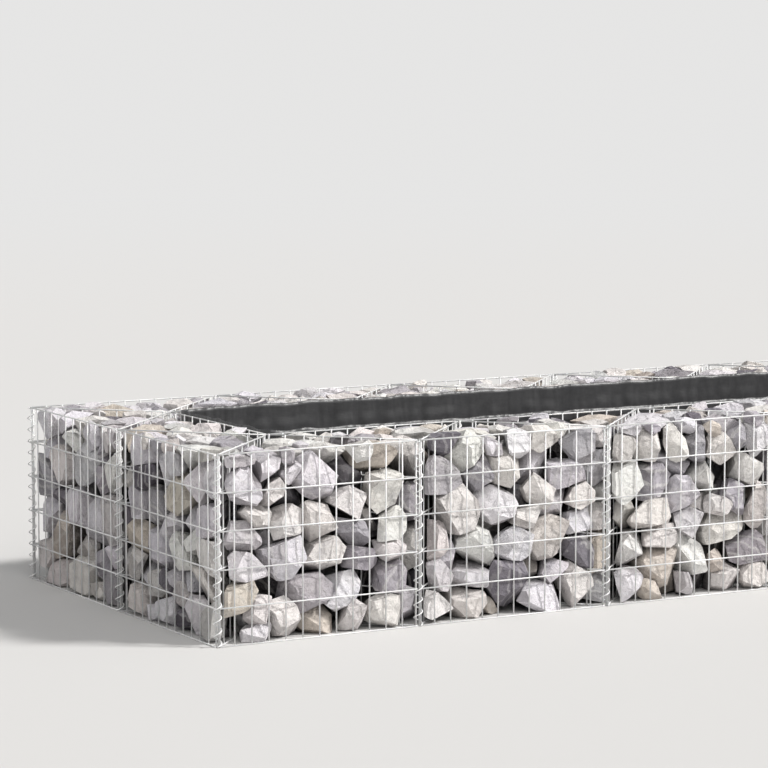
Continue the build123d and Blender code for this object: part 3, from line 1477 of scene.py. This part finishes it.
@dataclass
class BedLiner:
    """The dark cloth that hangs round the inside of the bed.

    Each pattern is how dense a noise lies round the bed, and how fast it changes up the cloth.
    """

    layout: Layout
    finish: LinerCloth = LinerCloth()
    slot: str = "liner_film"
    corner: float = 0.03
    thickness: float = 0.0008
    columns: int = 900
    rows: int = 44
    seam: float = 1e-5
    deepest_fold: float = 0.013
    fold_pattern: Span = (11.0, 0.6)
    fold_share: float = 0.5
    crease_pattern: Span = (14.0, 1.6)
    crease_form: tuple[float, float, int, float, float] = (0.9, 2.1, 4, 1.0, 2.0)
    crease_level: float = 1.2
    crease_share: float = 0.2
    pleat_pattern: Span = (30.0, 0.4)
    pleat_share: float = 1.1
    rim_start: float = 0.9
    rim_pull: float = 0.35
    rim_pattern: Span = (16.0, 0.0)
    lowest_rim: float = 0.003

    def build(self) -> None:
        """Hang the liner."""
        low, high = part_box("bed_liner")
        inset = self.thickness
        half_x, half_y, top = high.x - inset, high.y - inset, high.z
        ring = self.ring(half_x, half_y)
        around = sum((before - after).length for before, after in zip(ring, ring[1:]))
        shape = bmesh.new()
        bmesh.ops.create_grid(
            shape, x_segments=self.columns, y_segments=self.rows, size=0.5, calc_uvs=False
        )
        flat = shape.loops.layers.uv.new("cloth")
        spots = {vert: (vert.co.x + 0.5, vert.co.y + 0.5) for vert in shape.verts}
        for vert, (along, up) in spots.items():
            vert.co = self.hang(ring, along, up, top)
        for face in shape.faces:
            face.smooth = True
            for loop in face.loops:
                along, up = spots[loop.vert]
                loop[flat].uv = (along * around, up * top)
        rim = [vert for vert in shape.verts if vert.is_boundary]
        bmesh.ops.remove_doubles(shape, verts=rim, dist=self.seam)
        bmesh.ops.recalc_face_normals(shape, faces=shape.faces)
        mesh = to_mesh(shape, "bed_liner_cloth")
        piece = add_piece(mesh, self.finish.material(), ["bed_liner"])
        wall = piece.modifiers.new("cloth", "SOLIDIFY")
        wall.thickness, wall.offset = self.thickness, 0

    def ring(self, half_x: float, half_y: float) -> list[Vector]:
        """Evenly spaced points round the bed, at the foot of the liner.

        Args:
            half_x: Half the ring's length.
            half_y: Half the ring's width.

        Returns:
            The points, with the first again at the end.
        """
        corner = self.corner
        straight_x, straight_y = 2 * (half_x - corner), 2 * (half_y - corner)
        bend = math.pi / 2 * corner
        around = 2 * (straight_x + straight_y) + 4 * bend
        legs = (
            (straight_x, 0, Vector((-half_x + corner, -half_y, 0))),
            (straight_y, 90, Vector((half_x, -half_y + corner, 0))),
            (straight_x, 180, Vector((half_x - corner, half_y, 0))),
            (straight_y, 270, Vector((-half_x, half_y - corner, 0))),
        )
        points = []
        for step in range(self.columns):
            left = around * step / self.columns
            for straight, heading, start in legs:
                angle = math.radians(heading)
                ahead = Vector((math.cos(angle), math.sin(angle), 0))
                if left < straight:
                    points.append(start + ahead * left)
                    break
                left -= straight
                if left < bend:
                    inward = Vector((-ahead.y, ahead.x, 0))
                    onward, aside = math.sin(left / corner), 1 - math.cos(left / corner)
                    end = start + ahead * straight
                    points.append(end + ahead * corner * onward + inward * corner * aside)
                    break
                left -= bend
        return points + points[:1]

    def hang(self, ring: list[Vector], along: float, up: float, top: float) -> Vector:
        """Find where a point of the flat cloth hangs.

        Args:
            ring: The points round the foot.
            along: How far round, from 0 to 1.
            up: How far up, from 0 to 1.
            top: Height of the highest rim.

        Returns:
            The point in the frame.
        """
        step = round(along * self.columns) % self.columns
        ahead = (ring[(step + 1) % self.columns] - ring[step - 1]).normalized()
        inward = Vector((-ahead.y, ahead.x, 0))
        circle = Vector((math.cos(along * math.tau), math.sin(along * math.tau), 0))

        def spot(pattern: Span) -> Vector:
            """Where a pattern is read."""
            return circle * pattern[0] + Vector((0, 0, up * pattern[1]))

        folds = noise.noise(spot(self.fold_pattern))
        creases = noise.ridged_multi_fractal(spot(self.crease_pattern), *self.crease_form)
        pleats = noise.noise(spot(self.pleat_pattern))
        depth = 0.5 + self.fold_share * folds + self.crease_share * (creases - self.crease_level)
        depth = min(max(depth + self.pleat_share * pleats, 0), 1)
        pull = self.rim_pull
        depth *= pull + (1 - pull) * (1 - up) if up > self.rim_start else 1 - pull * up
        mesh_top, lowest = self.layout.height, self.lowest_rim
        waves = (0.5 + noise.noise(spot(self.rim_pattern))) * 0.5
        rim = lowest + waves * (top - mesh_top - lowest)
        height = up * (mesh_top + min(max(rim, lowest), top - mesh_top))
        foot = self.thickness * (1 - up)
        return ring[step] + inward * depth * self.deepest_fold + Vector((0, 0, height + foot))


# Studio


@dataclass(frozen=True)
class Lamp:
    """A distant lamp.

    Its softness is the angle that it spans, and its azimuth and height are its direction
    round the bed, from +X, and above the ground, all in degrees.
    """

    name: str
    strength: float
    softness: float
    azimuth: float
    height: float
    colour: Colour = (1.0, 0.985, 0.965)
    distance: float = 6.0

    def build(self) -> None:
        """Hang the lamp."""
        data = bpy.data.lights.new(self.name, "SUN")
        data.energy = self.strength
        data.angle = math.radians(self.softness)
        data.color = self.colour
        lamp = bpy.data.objects.new(self.name, data)
        azimuth, height = math.radians(self.azimuth), math.radians(self.height)
        flat = math.cos(height)
        east, north = flat * math.cos(azimuth), flat * math.sin(azimuth)
        towards = Vector((east, north, math.sin(height)))
        lamp.rotation_euler = towards.to_track_quat("Z", "Y").to_euler()
        lamp.location = towards * self.distance
        bpy.context.scene.collection.objects.link(lamp)


@dataclass
class Studio:
    """A plain pale floor, soft light and the camera."""

    floor_colour: Colour = (0.645, 0.639, 0.632)
    floor_reach: float = 60.0
    floor_facets: int = 64
    floor_roughness: float = 0.9
    floor_specular: float = 0.1
    fade_from: float = 5.0
    fade_to: float = 22.0
    backdrop: Colour = (0.79, 0.787, 0.783)
    sky_colour: Colour = (0.97, 0.985, 1.0)
    sky_strength: float = 0.28
    key: Lamp = Lamp("key", 3.2, 8.0, -36.0, 42.0)
    fill: Lamp = Lamp("fill", 1.3, 50.0, -112.0, 40.0)
    lens: float = 143.87
    sensor: float = 36.0
    sight: float = 200.0
    camera_place: Triple = (-4.986, -7.574, 1.541)
    camera_yaw: float = 29.713
    camera_dip: float = 6.28

    def build(self) -> None:
        """Set up the floor, the light and the camera."""
        self.add_floor()
        self.add_light()
        self.add_camera()

    def add_floor(self) -> None:
        """Lay a floor that fades into the backdrop far away."""
        shape = bmesh.new()
        bmesh.ops.create_circle(
            shape, cap_ends=True, segments=self.floor_facets, radius=self.floor_reach
        )
        floor = bpy.data.objects.new("floor", to_mesh(shape, "floor"))
        bpy.context.scene.collection.objects.link(floor)
        shader = Shader("floor")
        shader.put("Base Color", self.floor_colour)
        shader.put("Roughness", self.floor_roughness)
        shader.put("Specular IOR Level", self.floor_specular)
        far = shader.add("VectorMath", operation="LENGTH")
        shader.join(shader.add("TexCoord").outputs["Object"], far.inputs[0])
        fade = shader.add(
            "MapRange",
            From_Min_=self.fade_from,
            From_Max_=self.fade_to,
            interpolation_type="SMOOTHSTEP",
        )
        shader.join(far.outputs["Value"], fade.inputs["Value"])
        glow = shader.add("Emission", Color_=(*self.backdrop, 1), Strength_=1.0)
        blend = shader.add("MixShader")
        shader.join(fade.outputs["Result"], blend.inputs["Fac"])
        shader.join(shader.surface.outputs["BSDF"], blend.inputs[1])
        shader.join(glow.outputs["Emission"], blend.inputs[2])
        output = shader.tree.nodes["Material Output"]
        shader.join(blend.outputs["Shader"], output.inputs["Surface"])
        floor.data.materials.append(shader.material)

    def add_light(self) -> None:
        """Light the bed with a sky, a lamp from the front right and a broad one from the left."""
        self.key.build()
        self.fill.build()
        world = bpy.data.worlds.new("sky")
        world.use_nodes = True
        bpy.context.scene.world = world
        world.node_tree.nodes.clear()
        nodes = Nodes(world.node_tree)
        path = nodes.add("LightPath").outputs
        seen = nodes.combine("MAXIMUM", path["Is Camera Ray"], path["Is Glossy Ray"])
        seen = nodes.combine("MAXIMUM", seen, path["Is Transmission Ray"])
        sky = nodes.add("Background", Color_=(*self.sky_colour, 1), Strength_=self.sky_strength)
        shown = nodes.add("Background", Color_=(*self.backdrop, 1))
        blend = nodes.add("MixShader")
        nodes.join(seen, blend.inputs["Fac"])
        nodes.join(sky.outputs["Background"], blend.inputs[1])
        nodes.join(shown.outputs["Background"], blend.inputs[2])
        nodes.join(blend.outputs["Shader"], nodes.add("OutputWorld").inputs["Surface"])

    def add_camera(self) -> None:
        """Set the camera at the photograph's viewpoint."""
        data = bpy.data.cameras.new("camera")
        data.lens, data.sensor_width = self.lens, self.sensor
        data.clip_end = self.sight
        camera = bpy.data.objects.new("camera", data)
        camera.location = self.camera_place
        pitch = math.radians(90 - self.camera_dip)
        camera.rotation_euler = (pitch, 0, -math.radians(self.camera_yaw))
        bpy.context.scene.collection.objects.link(camera)
        bpy.context.scene.camera = camera


def main() -> None:
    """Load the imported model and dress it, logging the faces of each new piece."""
    logging.basicConfig(level=logging.INFO, format="%(message)s")
    noise.seed_set(NOISE_SEED)
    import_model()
    layout = Layout()
    MeshPanels(layout).build()
    SpiralJoiners(layout).build()
    StoneFill(layout).build()
    BedLiner(layout).build()
    Studio().build()
    bpy.context.scene.view_settings.view_transform = "Standard"


if __name__ == "__main__":
    main()
